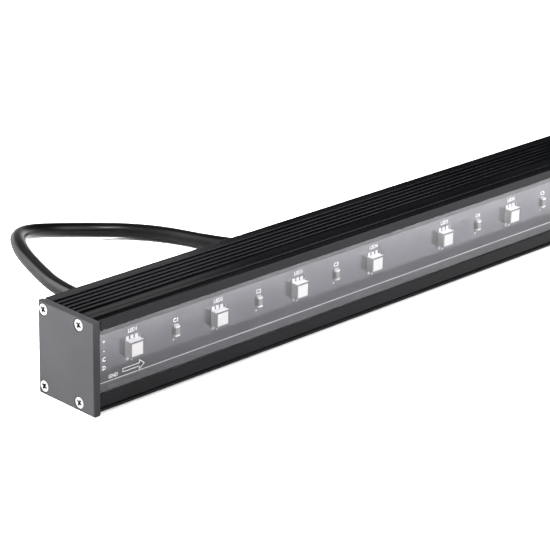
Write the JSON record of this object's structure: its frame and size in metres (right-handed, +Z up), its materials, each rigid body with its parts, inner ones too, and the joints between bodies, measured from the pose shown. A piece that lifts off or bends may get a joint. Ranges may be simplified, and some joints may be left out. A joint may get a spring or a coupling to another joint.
{
  "type": "led strip batten",
  "caption": "Slim square bar light: black ribbed aluminium housing, clear front window over a row of square LEDs on a black board, screwed end plates, round lead with screw connector.",
  "frame": {"origin": "on the standing surface, under the middle of the bar; the free lead and its connector are not counted", "axes": "+X along the bar, away from the end where the lead leaves; -Y out of the window; +Z up, towards the ribbed top"},
  "size_m": [0.5052, 0.1145, 0.0285],
  "materials": {
    "anodised_black": "black anodised, satin",
    "end_plate_black": "black anodised, fine bead blast",
    "gasket_rubber": "matte black",
    "screw_steel": "bright zinc plate",
    "clear_cover": "clear, polished",
    "board_black": "black solder mask with white print",
    "thermal_tape": "matte white",
    "led_white": "matte white",
    "led_window": "clear resin",
    "tinned_metal": "tinned",
    "capacitor_body": "ceramic",
    "solder": "bright solder",
    "wire_red": "red insulation",
    "wire_black": "black insulation",
    "wire_blue": "blue insulation",
    "wire_green": "green insulation",
    "boot_rubber": "moulded matte black",
    "cable_jacket": "satin black jacket",
    "connector_black": "moulded black",
    "insert_plastic": "dark grey moulding",
    "pin_brass": "gold flash",
    "seal_rubber": "red-brown silicone",
    "coupling_black": "moulded black",
    "nut_steel": "zinc plate"
  },
  "bodies": {
    "bar": {"cable": "cable_jacket", "cable_tail": "cable_jacket", "capacitor_ends": "tinned_metal", "chip_capacitors": "capacitor_body", "circuit_board": "board_black", "connector_body": "connector_black", "connector_insert": "insert_plastic", "connector_pins": "pin_brass", "connector_seal": "seal_rubber", "end_gasket_far": "gasket_rubber", "end_gasket_near": "gasket_rubber", "end_plate_far": "end_plate_black", "end_plate_near": "end_plate_black", "end_screws_far": "screw_steel", "end_screws_near": "screw_steel", "front_cover": "clear_cover", "housing": "anodised_black", "led_bodies": "led_white", "led_lenses": "led_window", "led_terminals": "tinned_metal", "solder_joints": "solder", "strain_relief": "boot_rubber", "thermal_tape": "thermal_tape", "wire_clock": "wire_blue", "wire_data": "wire_green", "wire_negative": "wire_black", "wire_positive": "wire_red"},
    "slot_nut_near": {"slot_nut_near": "nut_steel"},
    "slot_nut_far": {"slot_nut_far": "nut_steel"},
    "coupling_nut": {"coupling_nut": "coupling_black"}
  },
  "joints": [
    {"name": "near_nut_slide", "type": "slide", "parent": "bar", "child": "slot_nut_near", "axis": [1, 0, 0], "range_m": [-0.12, 0.12]},
    {"name": "far_nut_slide", "type": "slide", "parent": "bar", "child": "slot_nut_far", "axis": [1, 0, 0], "range_m": [-0.12, 0.12]},
    {"name": "coupling_nut_turn", "type": "hinge", "parent": "bar", "child": "coupling_nut", "pos_m": [0.217, 0.028, 0.0076], "axis": [1, 0, 0], "continuous": true}
  ]
}
